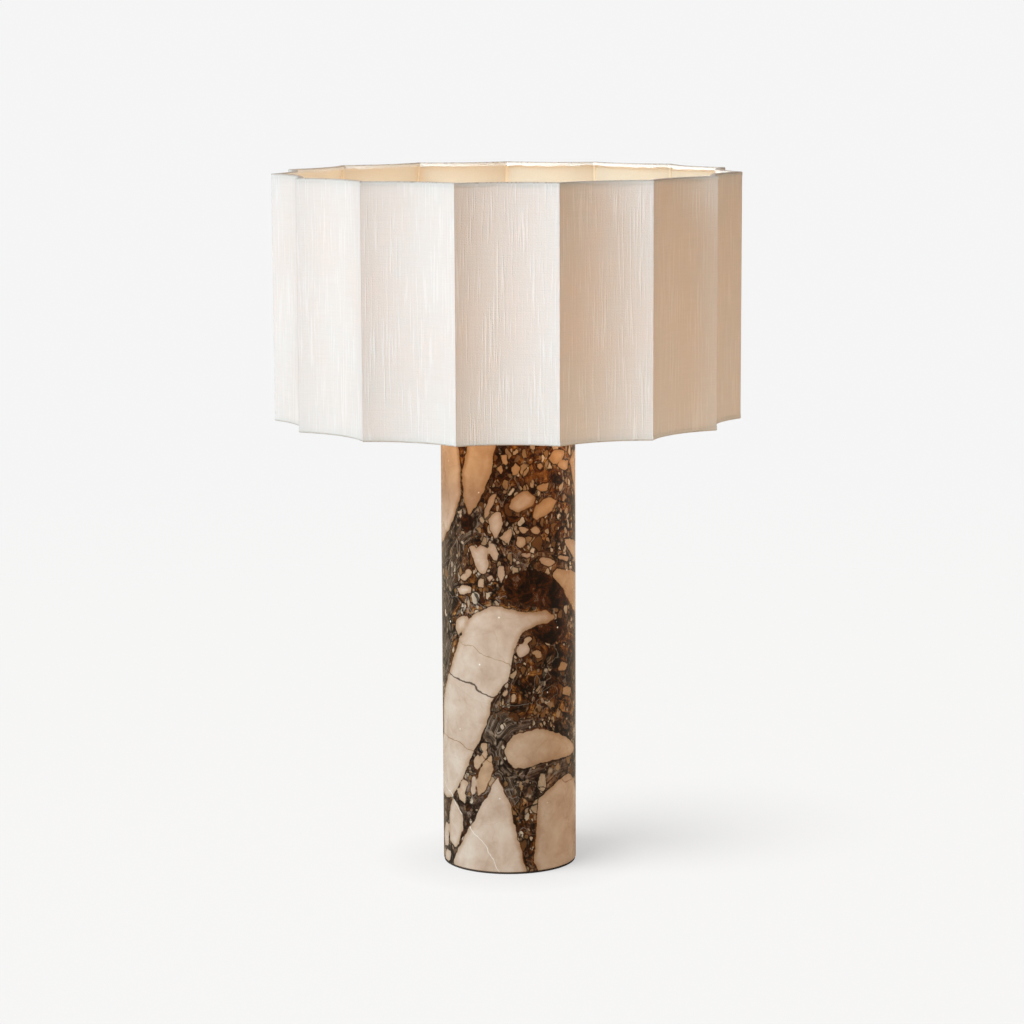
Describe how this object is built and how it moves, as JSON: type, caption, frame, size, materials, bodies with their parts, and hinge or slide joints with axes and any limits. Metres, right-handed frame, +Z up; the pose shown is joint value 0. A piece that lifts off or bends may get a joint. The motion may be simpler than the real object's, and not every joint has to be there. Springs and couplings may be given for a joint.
{
  "type": "table lamp",
  "caption": "Table lamp with a round polished stone column, a fluted linen drum shade held by a ring and arms on a screw lampholder, a rotary switch and a bulb.",
  "frame": {"origin": "on the column's axis, at the underside of the felt pad that stands on the table", "axes": "+Z up along the column, -Y to the front, +X towards the switch knob; the cord inlet is at +Y"},
  "size_m": [0.3988, 0.3966, 0.6],
  "materials": {
    "stone": "polished breccia marble, cream fragments in a brown and grey ground",
    "felt": "dark brown felt",
    "brass": "turned, satin",
    "contact_brass": "stamped, bright",
    "zinc_steel": "zinc plated",
    "nickel": "nickel plated, bright",
    "porcelain": "glazed",
    "black_plastic": "moulded, slightly glossy",
    "rubber": "plain",
    "white_paint": "white powder coat",
    "linen": "slubbed linen, undyed",
    "hem_linen": "slubbed linen, turned over the wire",
    "lining": "translucent film, matte",
    "bulb_glass": "clear",
    "black_glass": "black glass",
    "solder": "dull",
    "filament": "lit, warm"
  },
  "bodies": {
    "base": {"base_pad": "felt", "column": "stone", "cord_bush": "brass", "threaded_rod": "zinc_steel", "rod_end_bush": "black_plastic", "bottom_nut": "zinc_steel", "lock_washer": "zinc_steel", "clamp_washer": "zinc_steel", "rubber_washer": "rubber", "top_cap": "brass", "top_nut": "zinc_steel", "neck_tube": "brass", "holder_dome": "brass", "grub_screw": "zinc_steel", "holder_insert": "porcelain", "screw_shell": "nickel", "centre_contact": "contact_brass", "terminal_blocks": "contact_brass", "terminal_screws": "zinc_steel", "holder_skirt": "brass", "switch_block": "black_plastic", "switch_collar": "brass", "lower_shade_ring": "brass"},
    "clamp_ring": {"upper_shade_ring": "brass"},
    "knob": {"switch_spindle": "zinc_steel", "switch_knob": "black_plastic"},
    "bulb": {"bulb_glass": "bulb_glass", "bulb_cap": "nickel", "bulb_insulator": "black_glass", "bulb_tip": "solder", "bulb_stem": "bulb_glass", "bulb_filaments": "filament", "filament_carriers": "nickel"},
    "shade": {"fitter_ring": "white_paint", "lower_ring_wire": "white_paint", "upper_ring_wire": "white_paint", "uprights": "white_paint", "fitter_arm_1": "white_paint", "fitter_arm_2": "white_paint", "fitter_arm_3": "white_paint", "lining": "lining", "lower_hem": "hem_linen", "upper_hem": "hem_linen", "linen_panel_01": "linen", "linen_panel_02": "linen", "linen_panel_03": "linen", "linen_panel_04": "linen", "linen_panel_05": "linen", "linen_panel_06": "linen", "linen_panel_07": "linen", "linen_panel_08": "linen", "linen_panel_09": "linen", "linen_panel_10": "linen", "linen_panel_11": "linen", "linen_panel_12": "linen", "linen_panel_13": "linen", "linen_panel_14": "linen", "linen_panel_15": "linen"}
  },
  "joints": [
    {"name": "shade_turn", "type": "hinge", "parent": "base", "child": "shade", "pos_m": [0, 0, 0.4485], "axis": [0, 0, 1], "continuous": true},
    {"name": "ring_unscrew", "type": "slide", "parent": "base", "child": "clamp_ring", "axis": [0, 0, 1], "range_m": [0, 0.011]},
    {"name": "knob_turn", "type": "hinge", "parent": "base", "child": "knob", "pos_m": [0.0282, 0, 0.4255], "axis": [1, 0, 0], "continuous": true},
    {"name": "bulb_unscrew", "type": "slide", "parent": "base", "child": "bulb", "axis": [0, 0, 1], "range_m": [0, 0.03]}
  ]
}
